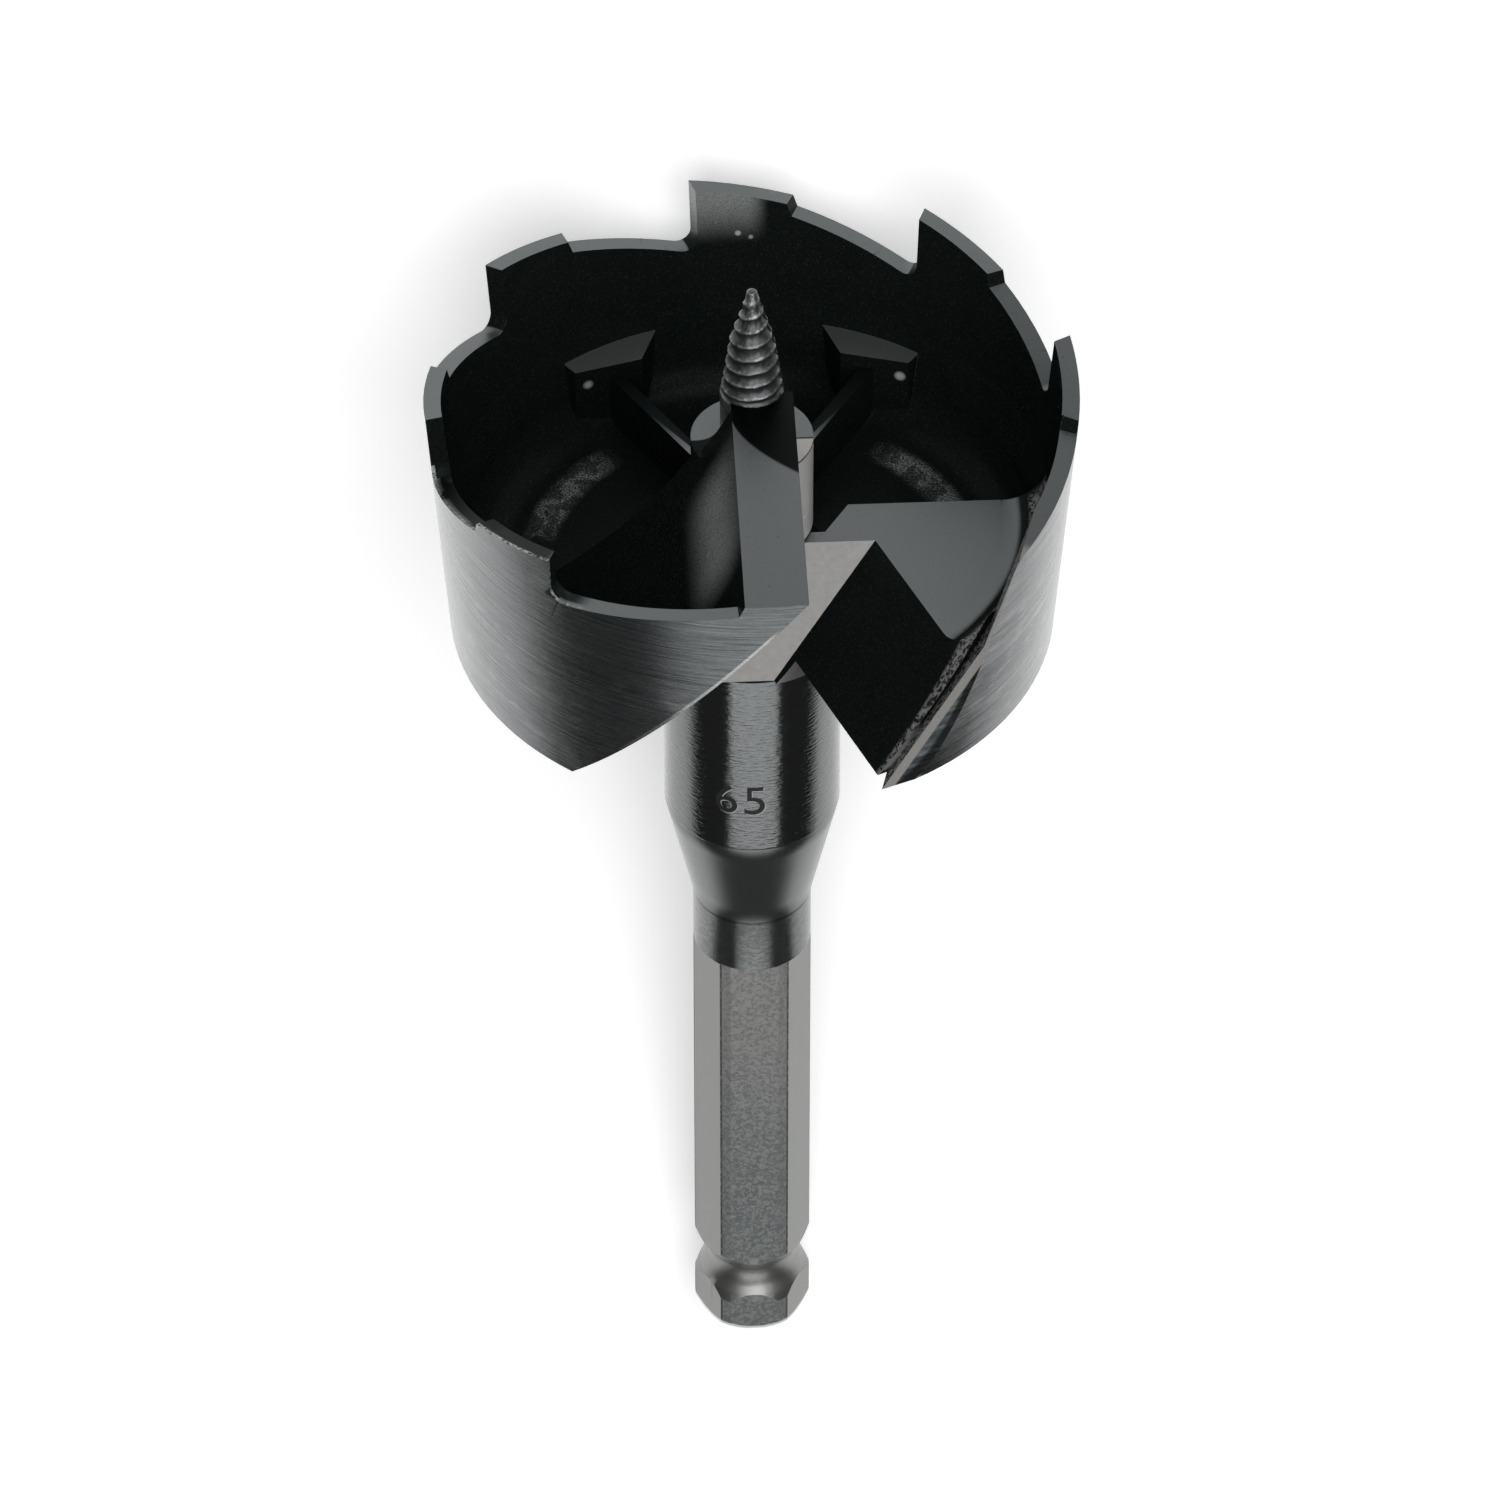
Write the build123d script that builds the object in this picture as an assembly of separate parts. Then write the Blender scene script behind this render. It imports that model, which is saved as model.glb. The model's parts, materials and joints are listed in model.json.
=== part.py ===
from build123d import *
import math
import os

# Self-feed bit for wood, 65 mm, with a 7/16 inch hexagonal shank.
# The bit is drawn standing on its shank end, with its axis along +Z and the throat towards -Y.
# Angles are measured about that axis, from +X towards +Y. All sizes are millimetres.
# At the end the finished bit is laid down on its side, the way it comes to rest on a table.

# Hexagonal drive and quick-change groove
hex_across_flats = 11.11
hex_length = 54.0
hex_end_chamfer = 0.5
groove_bottom = 4.1
groove_top = 10.7
groove_floor_height = 7.4
groove_floor_width = 1.6
groove_floor_radius = 4.75
groove_clearance = 1.0

# Round bar that the hexagon is cut into, taper and stop collar
neck_radius = 6.1
neck_length = 6.8
taper_length = 13.2
collar_radius = 9.0
collar_length = 23.2

# Spigot of the shank in the bore of the head
spigot_radius = 5.5
spigot_length = 5.5

# Cutter head
cut_diameter = 65.0
head_height = 28.9
boss_height = 2.4
boss_radius = 9.6
rim_foot_radius = 30.4
wall_thickness = 2.3
rim_thickness = 1.7
floor_thickness = 11.2
floor_cove = 4.5
hub_radius = 6.1
hub_height = 11.3

# Rim teeth: leading edges face counter-clockwise, seen from the tip
tooth_count = 6
first_tooth_angle = 11.2
tooth_pitch = 43.75
tooth_height = 7.8
land_length = 18.8
land_drop = 2.0
step_drop = 1.4
step_run = 0.5
gullet_radius = 1.4
tail_relief_drop = 3.1
tail_overrun = 6.0
blade_relief_start = 1.4
blade_relief_drop = 4.0

# Chisel blade, one edge along the radius towards -Y
blade_edge_offset = 4.0
blade_width = 6.2
blade_rear = 0.9
rake_run = 22.9
flank_run = 18.6
flank_hollow = 2.3
heel_cut_angle = 66.2
heel_cut_reach = -3.98

# Throat: sloping faces that guide the chips down and out
throat_back_top = 3.5
throat_back_bottom = 8.9
ramp_normal_angle = 23.0
ramp_reach = 9.8
ramp_slope = 1.17
wall_end_normal_angle = -14.0
wall_end_reach = 17.9
wall_end_slope = 1.583
wall_end_bend_height = 13.6
wall_end_upper_slope = 3.25
wall_bevel_angle = -68.5
wall_bevel_reach = 30.12
wall_bevel_slope = 9.85
wall_bevel_side = 10.0

# Scooped pockets in the floor
pocket_depth = 6.0
pocket_root_radius = 4.5
pocket_hub_chamfer = 2.5
plate_rear_edge = 2.0
plate_rear_corner = 9.7
plate_hub_corner = 7.2
plate_hub_edge = -2.0
rib_width = 1.3
rib_angle = 32.0
rib_offset = 1.25
pad_height = 1.5
pad_gate = (10.1, 23.5)
pad_gate_lean = 20.0
pad_end = (16.9, 21.6)

# Feed screw and its set screw
screw_radius = 3.175
screw_tip_radius = 0.3
screw_point_length = 12.4
screw_bulge = 0.45
screw_stem_length = 48.0
set_screw_radius = 2.4
set_screw_height = 11.0
set_screw_sink = 0.5
set_screw_socket = 2.4
set_screw_socket_depth = 2.5
stem_flat_depth = 0.6

# Levels along the axis, from the shank end
taper_level = hex_length + neck_length
collar_level = taper_level + taper_length
boss_level = collar_level + collar_length
rim_foot_level = boss_level + boss_height
floor_level = rim_foot_level + floor_thickness
hub_level = floor_level + hub_height
tip_level = rim_foot_level + head_height
point_level = tip_level + screw_point_length
set_screw_level = collar_level + set_screw_height
stem_end_level = tip_level - screw_stem_length

tip_radius = cut_diameter / 2
# Reach of cutting shapes past the body, and the slope that stands for an upright plane
overshoot = 1.0
land_overlap = 0.5
far = 2 * cut_diameter
upright = 1000.0


def wall_outer(level):
    """Outer radius of the cup at a level: it widens towards the teeth."""
    share = (level - rim_foot_level) / head_height
    return rim_foot_radius + share * (tip_radius - rim_foot_radius)


def wall_inner(level):
    """Inner radius of the cup at a level: the wall is thinner at the teeth than at its foot."""
    share = (level - rim_foot_level) / head_height
    return wall_outer(level) - wall_thickness - share * (rim_thickness - wall_thickness)


def around(radius, angle, level):
    """Point at a radius, an angle in degrees and a level."""
    turn = math.radians(angle)
    return Vector(radius * math.cos(turn), radius * math.sin(turn), level)


def revolved(points):
    """Solid of revolution of a closed outline of (radius, level) points."""
    outline = Polyline(*[(radius, 0, level) for radius, level in points], close=True)
    return revolve(make_face(outline), Axis.Z)


def half_space(normal_angle, reach, level, slope, keep_beyond):
    """Big block bounded by a plane that leans outwards as it rises.

    The plane lies at the given reach along the normal angle at the given level, and rises by
    slope for each unit of reach. The block is beyond the plane, or on the axis side of it.
    """
    foot = around(reach, normal_angle, level)
    outward = around(1, normal_angle, 0)
    normal = (outward * slope - Vector(0, 0, 1)).normalized()
    side = normal if keep_beyond else normal * -1
    plane = Plane(origin=foot, z_dir=side)
    return plane * Box(4 * far, 4 * far, 2 * far, align=(Align.CENTER, Align.CENTER, Align.MIN))


def tangent_plane(angle, radius):
    """Plane whose local x runs clockwise round the rim and whose local y runs up the axis."""
    return Plane(origin=around(radius, angle, 0), x_dir=around(1, angle - 90, 0), z_dir=around(-1, angle, 0))


def rim_cut(angle, points, rounded=()):
    """Radial cut through the wall with the given outline of (run, level) points."""
    outline = make_face(Polyline(*points, close=True))
    for run, level in rounded:
        corner = min(outline.vertices(), key=lambda v: abs(v.X - run) + abs(v.Y - level))
        outline = fillet(corner, gullet_radius)
    plane = tangent_plane(angle, tip_radius + overshoot)
    return extrude(plane * outline, 3 * wall_thickness, dir=plane.z_dir)


def arc_run(degrees):
    """Run along the rim's tangent for an angle from the middle of a cut."""
    return tip_radius * math.sin(math.radians(degrees))


def land_cut(lead_angle):
    """Clearance on top of a tooth: the land falls away behind the leading edge."""
    middle = lead_angle - land_length / 2
    half = arc_run(land_length / 2)
    top = tip_level + overshoot
    low = tip_level - land_drop * (1 + land_overlap / half)
    end = half + land_overlap
    return rim_cut(middle, [(-half, tip_level), (end, low), (end, top), (-half, top)])


def gullet_cut(start_angle, end_angle, step, start_level, end_level, closed):
    """Relief behind a tooth, which ends at the next leading face or runs out."""
    middle = (start_angle + end_angle) / 2
    half = arc_run((start_angle - end_angle) / 2)
    top = tip_level + overshoot
    points = [(-half, top), (-half, start_level + step), (step_run - half, start_level),
              (half, end_level), (half, top)]
    return rim_cut(middle, points, [(half, end_level)] if closed else [])


def teeth_cuts():
    """All cuts that leave the six teeth, the tail behind the last one and the relief behind the blade."""
    cuts = []
    gullet_level = tip_level - tooth_height
    relief_level = tip_level - land_drop - step_drop
    for k in range(tooth_count):
        lead = first_tooth_angle + k * tooth_pitch
        cuts.append(land_cut(lead))
        heel = lead - land_length
        if k > 0:
            cuts.append(gullet_cut(heel, lead - tooth_pitch, step_drop, relief_level, gullet_level, True))
    throat_side = first_tooth_angle - tooth_pitch - tail_overrun
    tail = relief_level - tail_relief_drop
    last_heel = first_tooth_angle - land_length
    cuts.append(gullet_cut(last_heel, throat_side, step_drop, relief_level, tail, False))
    blade_heel = blade_edge_offset - blade_width
    blade_heel_angle = 270 + math.degrees(math.asin(blade_heel / tip_radius))
    last_lead = first_tooth_angle + (tooth_count - 1) * tooth_pitch
    start = tip_level - blade_relief_start
    cuts.append(gullet_cut(blade_heel_angle, last_lead, 0, start, start - blade_relief_drop, True))
    return cuts


def chisel_blade():
    """Radial bar whose front face is the rake plane and whose back is a hollow flank."""
    heel = blade_edge_offset - blade_width
    foot_drop = head_height * flank_run / rake_run
    top = Vector(heel, 0, tip_level)
    foot = Vector(heel - flank_run, 0, tip_level - foot_drop)
    chord = (foot - top).normalized()
    hollow = Vector(-chord.Z, 0, chord.X) * flank_hollow
    middle = (top + foot) * 0.5 + hollow
    flank = ThreePointArc(top, middle, foot)
    rest = Polyline(foot, (foot.X, 0, rim_foot_level), (blade_edge_offset, 0, rim_foot_level),
                    (blade_edge_offset, 0, tip_level), top)
    section = make_face([flank, rest])
    bar = extrude(Pos(0, -blade_rear, 0) * section, tip_radius - blade_rear, dir=(0, -1, 0))
    cup = revolved([(0, rim_foot_level), (rim_foot_radius, rim_foot_level),
                    (tip_radius, tip_level), (0, tip_level)])
    bar = bar & cup
    heel_side = Pos(heel, 0, hub_level) * Box(far, far, far, align=(Align.MAX, Align.CENTER, Align.MIN))
    return bar - (heel_side & half_space(heel_cut_angle, heel_cut_reach, hub_level, upright, True))


def rake_prism():
    """Everything under the rake plane, which falls back from the cutting edge."""
    run = rake_run / head_height
    low = boss_level - overshoot
    foot = blade_edge_offset - run * (tip_level - low)
    high = tip_level + overshoot
    outline = Polyline((blade_edge_offset, 0, tip_level), (foot, 0, low), (far, 0, low), (far, 0, high),
                       (blade_edge_offset, 0, high), close=True)
    return extrude(make_face(outline), far, dir=(0, -1, 0))


def front_prism():
    """Everything in front of the sloping back of the throat."""
    drop = floor_level - boss_level
    lean = (throat_back_bottom - throat_back_top) / drop
    low = boss_level - overshoot
    high = tip_level + overshoot
    bottom = throat_back_bottom + lean * (boss_level - low)
    outline = Polyline((0, -bottom, low), (0, -throat_back_top, floor_level), (0, -throat_back_top, high),
                       (0, -far, high), (0, -far, low), close=True)
    return extrude(make_face(outline), far, dir=(1, 0, 0), both=True)


def throat():
    """Open chip throat: its inner part stops at the ramp, its outer part at the end of the wall."""
    blank = rake_prism() & front_prism()
    low = boss_level - overshoot
    high = tip_level + overshoot
    outer_low = rim_foot_level - overshoot
    wall_foot = wall_inner(rim_foot_level)
    wall_top = wall_inner(tip_level)
    inside = revolved([(hub_radius, low), (wall_foot, low), (wall_foot, rim_foot_level),
                       (wall_top, tip_level), (wall_top, high), (hub_radius, high)])
    outside = revolved([(wall_foot, outer_low), (far, outer_low), (far, high), (wall_top, high),
                        (wall_top, tip_level), (wall_foot, rim_foot_level)])
    ramp = half_space(ramp_normal_angle, ramp_reach, floor_level, ramp_slope, False)
    wall_end = half_space(wall_end_normal_angle, wall_end_reach, rim_foot_level, wall_end_slope, False)
    bend_reach = wall_end_reach + wall_end_bend_height / wall_end_slope
    bend_level = rim_foot_level + wall_end_bend_height
    upper_end = half_space(wall_end_normal_angle, bend_reach, bend_level, wall_end_upper_slope, False)
    return (blank & inside & ramp) + (blank & outside & wall_end & upper_end)


def wall_bevel():
    """Ground flat on the outside of the wall along its end, wider towards the foot."""
    foot = around(wall_bevel_reach, wall_bevel_angle, rim_foot_level)
    side = (around(1, wall_bevel_angle, 0) * wall_bevel_slope + Vector(0, 0, 1)).normalized()
    block = Plane(origin=foot, z_dir=side) * Box(far, far, far, align=(Align.CENTER, Align.CENTER, Align.MIN))
    beside = Box(far, 2 * far, 4 * far, align=(Align.MIN, Align.MAX, Align.CENTER))
    return block & Pos(wall_bevel_side, 0, 0) * beside


def scoop():
    """Rounded trough round the hub, as deep as the pockets."""
    low = floor_level - pocket_depth
    high = floor_level + floor_cove
    root = pocket_root_radius
    outer = wall_inner(low)
    with BuildSketch(Plane.XZ) as section:
        with BuildLine():
            Polyline((hub_radius, high), (hub_radius, low + pocket_hub_chamfer),
                     (hub_radius + pocket_hub_chamfer, low), (outer - root, low))
            RadiusArc((outer - root, low), (outer, low + root), -root)
            Polyline((outer, low + root), (wall_inner(high), high), (hub_radius, high))
        make_face()
    return revolve(section.sketch, Axis.Z)


def pad_prisms(low, high):
    """Outlines of the two pads at the foot of the wall, beside the gap at the back, between two levels."""
    gate_x, gate_y = pad_gate
    end_x, end_y = pad_end
    gate_run = tip_radius - gate_y
    outer_gate = (gate_x - gate_run * math.tan(math.radians(pad_gate_lean)), tip_radius)
    outer_end = (end_x * tip_radius / end_y, tip_radius)
    corners = [pad_gate, pad_end, outer_end, outer_gate]
    right = extrude(Pos(0, 0, low) * make_face(Polyline(*corners, close=True)), high - low)
    return right + mirror(right, Plane.YZ)


def pads():
    """Pads at the foot of the wall, a little above the floor."""
    high = floor_level + pad_height
    inside = revolved([(0, rim_foot_level), (wall_inner(high) + wall_thickness / 2, rim_foot_level),
                       (wall_inner(high) + wall_thickness / 2, high), (0, high)])
    return pad_prisms(rim_foot_level, high) & inside


def pad_clearance():
    """Space over the pads, which are flat right up to the wall."""
    low = floor_level + pad_height
    high = floor_level + floor_cove
    inside = revolved([(0, low), (wall_inner(low), low), (wall_inner(high), high), (0, high)])
    return pad_prisms(low, high) & inside


def rib(angle, offset):
    """Thin web between two pockets, square to the floor."""
    height = floor_level - rim_foot_level
    bar = Box(far, rib_width, height, align=(Align.MIN, Align.CENTER, Align.MIN))
    return Rot(0, 0, angle) * Pos(0, offset, rim_foot_level) * bar


def plate():
    """Level floor in front of the pockets, cut back beside the hub."""
    outline = Polyline((plate_rear_corner, plate_rear_edge), (plate_hub_corner, plate_hub_edge),
                       (0, plate_hub_edge), (0, -far), (far, -far), (far, plate_rear_edge), close=True)
    return extrude(Pos(0, 0, rim_foot_level) * make_face(outline), floor_level - rim_foot_level + floor_cove)


def pockets():
    """Left, right and back pockets: the trough less the ribs, the pads, the plate and the blade."""
    keep = rib(90 - rib_angle, rib_offset) + rib(90 + rib_angle, -rib_offset) + pads()
    return scoop() - keep - plate() - chisel_blade()


def cup_body():
    """Forged cup before cutting: boss, floor, wall and hub in one turn."""
    cove_level = floor_level + floor_cove
    cove_start = wall_inner(cove_level) - floor_cove
    with BuildSketch(Plane.XZ) as section:
        with BuildLine():
            Polyline((0, boss_level), (boss_radius, boss_level), (boss_radius, rim_foot_level),
                     (rim_foot_radius, rim_foot_level), (tip_radius, tip_level),
                     (wall_inner(tip_level), tip_level), (wall_inner(cove_level), cove_level))
            RadiusArc((wall_inner(cove_level), cove_level), (cove_start, floor_level), floor_cove)
            Polyline((cove_start, floor_level), (hub_radius, floor_level), (hub_radius, hub_level),
                     (0, hub_level), (0, boss_level))
        make_face()
    return revolve(section.sketch, Axis.Z)


def build_head():
    """Cutter head, bored for the spigot of the shank and the stem of the feed screw."""
    cup = cup_body() - pad_clearance()
    for cut in teeth_cuts():
        cup = cup - cut
    head = cup + pads() + chisel_blade() - throat() - wall_bevel() - pockets()
    bore_end = boss_level + spigot_length
    bore = revolved([(0, boss_level), (spigot_radius, boss_level), (spigot_radius, bore_end), (0, bore_end)])
    return head - bore - screw_stem()


def hexagon(across_flats):
    """Hexagon with two sides square to the Y axis."""
    return RegularPolygon(across_flats / 2 / math.cos(math.radians(30)), 6)


def flats_cut():
    """Everything outside the six flats, which end at a low shoulder under the neck."""
    ring = Circle(far) - hexagon(hex_across_flats)
    return extrude(ring, hex_length)


def quick_change_groove():
    """Turned groove that the balls of a quick-change chuck drop into."""
    half = groove_floor_width / 2
    outer = neck_radius + groove_clearance
    lean_low = (groove_floor_height - half - groove_bottom) / (neck_radius - groove_floor_radius)
    lean_high = (groove_top - groove_floor_height - half) / (neck_radius - groove_floor_radius)
    return revolved([(outer, groove_bottom - lean_low * groove_clearance),
                     (groove_floor_radius, groove_floor_height - half),
                     (groove_floor_radius, groove_floor_height + half),
                     (outer, groove_top + lean_high * groove_clearance)])


def build_shank():
    """Drive, neck, taper, collar and spigot in one turned bar, bored for the feed screw."""
    bar = revolved([(0, 0), (neck_radius - hex_end_chamfer, 0), (neck_radius, hex_end_chamfer),
                    (neck_radius, taper_level), (collar_radius, collar_level), (collar_radius, boss_level),
                    (spigot_radius, boss_level), (spigot_radius, boss_level + spigot_length),
                    (0, boss_level + spigot_length)])
    tapped_hole = Pos(0, 0, set_screw_level) * Rot(-90, 0, 0) * Cylinder(
        set_screw_radius, far, align=(Align.CENTER, Align.CENTER, Align.MIN))
    return bar - flats_cut() - quick_change_groove() - screw_stem() - tapped_hole


def screw_stem():
    """Plain stem of the feed screw."""
    height = tip_level - stem_end_level
    stem = Cylinder(screw_radius, height, align=(Align.CENTER, Align.CENTER, Align.MIN))
    return Pos(0, 0, stem_end_level) * stem


def build_feed_screw():
    """Centre point on its stem, which has a ground flat under the set screw."""
    middle_radius = (screw_radius + screw_tip_radius) / 2 + screw_bulge
    middle_level = (tip_level + point_level) / 2
    point = revolved([(0, tip_level), (screw_radius, tip_level), (middle_radius, middle_level),
                      (screw_tip_radius, point_level), (0, point_level)])
    flat_level = set_screw_level - 2 * set_screw_radius
    flat = Pos(0, screw_radius - stem_flat_depth, flat_level) * Box(
        far, far, 4 * set_screw_radius, align=(Align.CENTER, Align.MIN, Align.MIN))
    return screw_stem() + point - flat


def build_set_screw():
    """Headless socket screw, seated on the flat of the stem."""
    seat = screw_radius - stem_flat_depth
    mouth = collar_radius - set_screw_sink
    blank = Pos(0, seat, set_screw_level) * Rot(-90, 0, 0) * Cylinder(
        set_screw_radius, mouth - seat, align=(Align.CENTER, Align.CENTER, Align.MIN))
    socket = extrude(Plane(origin=(0, mouth, set_screw_level), z_dir=(0, -1, 0)) * hexagon(set_screw_socket),
                     set_screw_socket_depth)
    return blank - socket


def rest_placement():
    """Tilt that lays the bit on its back: on the foot of its rim and the back flat of its hexagon."""
    lie_angle = math.degrees(math.atan2(rim_foot_radius - hex_across_flats / 2, rim_foot_level))
    return Rot(lie_angle - 90, 0, 0)


def main():
    os.makedirs("parts", exist_ok=True)
    pieces = {
        "cutter_head": build_head(),
        "shank": build_shank(),
        "feed_screw": build_feed_screw(),
        "set_screw": build_set_screw(),
    }
    turn = rest_placement()
    box = Compound([turn * piece for piece in pieces.values()]).bounding_box()
    move = Pos(-(box.min.X + box.max.X) / 2, -(box.min.Y + box.max.Y) / 2, -box.min.Z)
    for name, piece in pieces.items():
        export_step(move * turn * piece, os.path.join("parts", name + ".step"))


if __name__ == "__main__":
    main()
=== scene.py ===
import json
import math

import bmesh
import bpy
from mathutils import Matrix, Vector, noise


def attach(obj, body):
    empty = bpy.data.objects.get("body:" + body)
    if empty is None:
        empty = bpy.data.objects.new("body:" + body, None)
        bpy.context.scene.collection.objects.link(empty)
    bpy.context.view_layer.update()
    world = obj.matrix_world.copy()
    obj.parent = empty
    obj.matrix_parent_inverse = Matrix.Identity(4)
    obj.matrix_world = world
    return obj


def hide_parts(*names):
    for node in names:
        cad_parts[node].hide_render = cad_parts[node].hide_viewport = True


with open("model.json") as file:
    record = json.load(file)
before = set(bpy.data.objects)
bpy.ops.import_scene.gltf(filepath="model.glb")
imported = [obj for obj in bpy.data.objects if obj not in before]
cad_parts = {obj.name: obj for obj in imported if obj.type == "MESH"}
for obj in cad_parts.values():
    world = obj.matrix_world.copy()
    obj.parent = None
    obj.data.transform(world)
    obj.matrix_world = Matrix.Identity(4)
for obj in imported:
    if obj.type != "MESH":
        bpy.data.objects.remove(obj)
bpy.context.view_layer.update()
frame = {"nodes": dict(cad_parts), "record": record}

MM = 0.001

# Where the bit lies: the mount on the shank's end gives the end of its axis and its direction.
# In the bit's own frame z runs along the axis to the tip and the throat looks towards -y.
end_mount = next(m for m in frame["record"]["mounts"] if m["name"] == "shank_end")
end_point = Vector(end_mount["pos_m"])
along = -Vector(end_mount["axis"]).normalized()
right = Vector((1, 0, 0))
back = along.cross(right).normalized()
to_world = Matrix((
    (right.x, back.x, along.x, end_point.x),
    (right.y, back.y, along.y, end_point.y),
    (right.z, back.z, along.z, end_point.z),
    (0, 0, 0, 1),
))
to_bit = to_world.inverted()

# The photograph's camera, in millimetres of the bit's own frame
CAMERA_DISTANCE = 1000.0
CAMERA_ELEVATION = math.radians(43.0)
CAMERA_TURN = math.radians(-2.7)
CAMERA_LENS = 235.2
SENSOR_WIDTH = 36.0
AIM_LEVEL = 79.5
FRAME_PIXELS = 1500
AXIS_PIXEL = 752

# Levels along the bit, in millimetres from the end of the shank
GROOVE_LEVEL = 7.4
HEX_TOP = 54.0
TAPER_LEVEL = 60.8
COLLAR_LEVEL = 74.0
COLLAR_TOP = 97.2
RIM_FOOT = 99.6
FLOOR_LEVEL = 110.8
PAD_LEVEL = 112.3
HUB_LEVEL = 122.1
TIP_LEVEL = 128.5
POINT_LEVEL = 140.8
HEAD_HEIGHT = TIP_LEVEL - RIM_FOOT

# Sizes across the bit, in millimetres from its axis
HEX_FLAT = 11.11 / 2
END_RADIUS = 5.6
COLLAR_RADIUS = 9.0
HUB_RADIUS = 6.1
BLADE_SIDE = 4.0
RIM_FOOT_RADIUS = 30.4
TIP_RADIUS = 32.5

# Parts of the head that a material tells apart: from the first number on, fully from the second
WALL_PART = (27.5, 28.0)
RIM_PART = (29.0, 29.5)
RIGHT_PART = (9.0, 10.0)

# Edge of the painted shadow and reflection of the feed screw on the blade's top: a bow from its upper left
# end
SCREW_SHADE_START = (-2.45, -3.2)
SCREW_SHADE_BOW = 3.9
SCREW_SHADE_REACH = 14.0

# Edge of the painted shade over the flank's hollow on the hub's top: a cubic curve from its left end
HOLLOW_START = (-5.86, -0.46)
HOLLOW_RISE = 0.087

# Cutting edge on the wall: how far it leans over the head's height
EDGE_LEAN = 22.9

# Slanted end of the wall beside the throat: steep above the bend, and the direction square to it
FOOT_EDGE_SLOPE = 1.583
FOOT_EDGE_PLACE = 17.9
TOP_EDGE_SLOPE = 3.25
TOP_EDGE_PLACE = 26.49
EDGE_BEND = 13.6
EDGE_ACROSS = (0.97, -0.242)
BEVEL_FACING = (0.364, 0.925)

# Ribs behind the hub: the direction across the right one, and the light wedge on their tops
RIB_ACROSS = (-0.848, 0.53)
WEDGE_START = 2.6
WEDGE_TAPER = -0.1

# Turn in radians from the throat of the worn tooth and of the gully beside it, on the left of the rim
BLUNT_TURN = (-1.1, -0.7)
GULLY_TURN = (-1.55, -0.6)

# Painted highlights of the head on the flank and along the pocket troughs, and a lighter patch on the back
# tooth, in x, y and level or in radius, turn and level
FLANK_X = (-5.2, -3.2)
FLANK_Y = (-23.0, -8.5)
TOOTH_X = (-6.0, 2.0)
TOOTH_Y = (20.0, 21.0)
TOOTH_LEVEL = (121.5, 127.5)
TROUGH_RADIUS = (20.4, 23.2)
TROUGH_TURN = (1.85, 2.42)
TROUGH_LEVEL = (112.0, 109.5)

# Levels between which the hexagon's front grows lighter
HEX_TONE = (20.0, 50.0)

# Turn in degrees of the hexagon's first corner, and how far past it the dashed line of painted shade lies,
# in radians
CORNER_TURN = 30.0
CORNER_LINE_TURN = (math.radians(3.6), math.radians(6.2))

# Centre and radius of the painted glints (small painted highlights) under the corners of the pads and on the
# back wall
GLINTS = (((-15.7, 22.3, 110.4), 0.75), ((16.0, 21.6, 110.4), 0.75),
          ((0.0, 30.4, 122.9), 0.45), ((1.3, 30.4, 122.4), 0.4))

# Feed screw, in millimetres, and the tones of both screws
SCREW_RADIUS = 3.175
SCREW_TIP_RADIUS = 0.5
SCREW_BULGE = 0.5
SCREW_HALF = (POINT_LEVEL - TIP_LEVEL) / 2
SCREW_MIDDLE = (SCREW_RADIUS + SCREW_TIP_RADIUS) / 2 + SCREW_BULGE
STEM_END = 80.5
FLAT_LOW = 80.2
FLAT_HIGH = 89.8
FLAT_DEPTH = 0.6
THREAD_LOW = TIP_LEVEL - 0.4
THREAD_PITCH = 1.5
THREAD_DEPTH = 0.3
THREAD_ROUNDING = 2.2
THREAD_RUN_IN = 0.6
THREAD_RUN_OUT = 3.0
LUMP_DEPTH = 0.12
LUMP_SCALE = 4.0
LUMP_STRETCH = 0.4
LEAST_RADIUS = 0.05
STEPS_AROUND = 96
STEPS_PER_TURN = 14
SCREW_WELD = 1e-6
SCREW_TONE = 0.34
SET_SCREW_TONE = 0.08

# Size number on the collar, as a dark copy of painted shade and a shifted light copy of painted highlight
MARK_TEXT = "65"
MARK_SIZE = 5.4
MARK_SPACING = 1.1
MARK_LEVEL = 80.6
MARK_SIDE = -1.6
MARK_LIFT = 0.012
MARK_HIGHLIGHT_LIFT = 0.006
MARK_HIGHLIGHT_SHIFT = 0.1
MARK_ROUGHNESS = 0.5
MARK_WELD = 1e-4

# Bevel of each CAD node in millimetres, the smallest angle of an edge that gets it, and its shading
BEVELS = {"cutter_head": 0.12, "shank": 0.06, "set_screw": 0.05}
BEVEL_ANGLE = math.radians(35)
BEVEL_SEGMENTS = 2
NORMAL_WEIGHT = 60
NODE_WELD = 1e-5

# Table, room and lamps, in metres: what steel mirrors of the table fades between the two distances
FLOOR_HALF = 6.0
FLOOR_WHITE = 0.95
FLOOR_GLOW = 0.4
MIRROR_FADE = (0.38, 0.06)
ROOM_LIGHT = 0.05
LAMPS = (
    ("front_panel", (0, -0.72, 0.6), (0, 0, 0.03), (0.8, 0.5), 1.2),
    ("top_panel", (0.08, 0.2, 0.95), (0, 0, 0.02), (0.95, 0.95), 2.5),
    ("tip_panel", (0.2, 0.9, 0.6), (0, 0, 0.02), (0.5, 0.5), 2.4),
)

# Specular level of the head, which is matt where its black finish is whole, and the film of oil
HEAD_GLOSS = 0.03
OIL_ROUGHNESS = 0.2
OIL_IOR = 1.6

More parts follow.
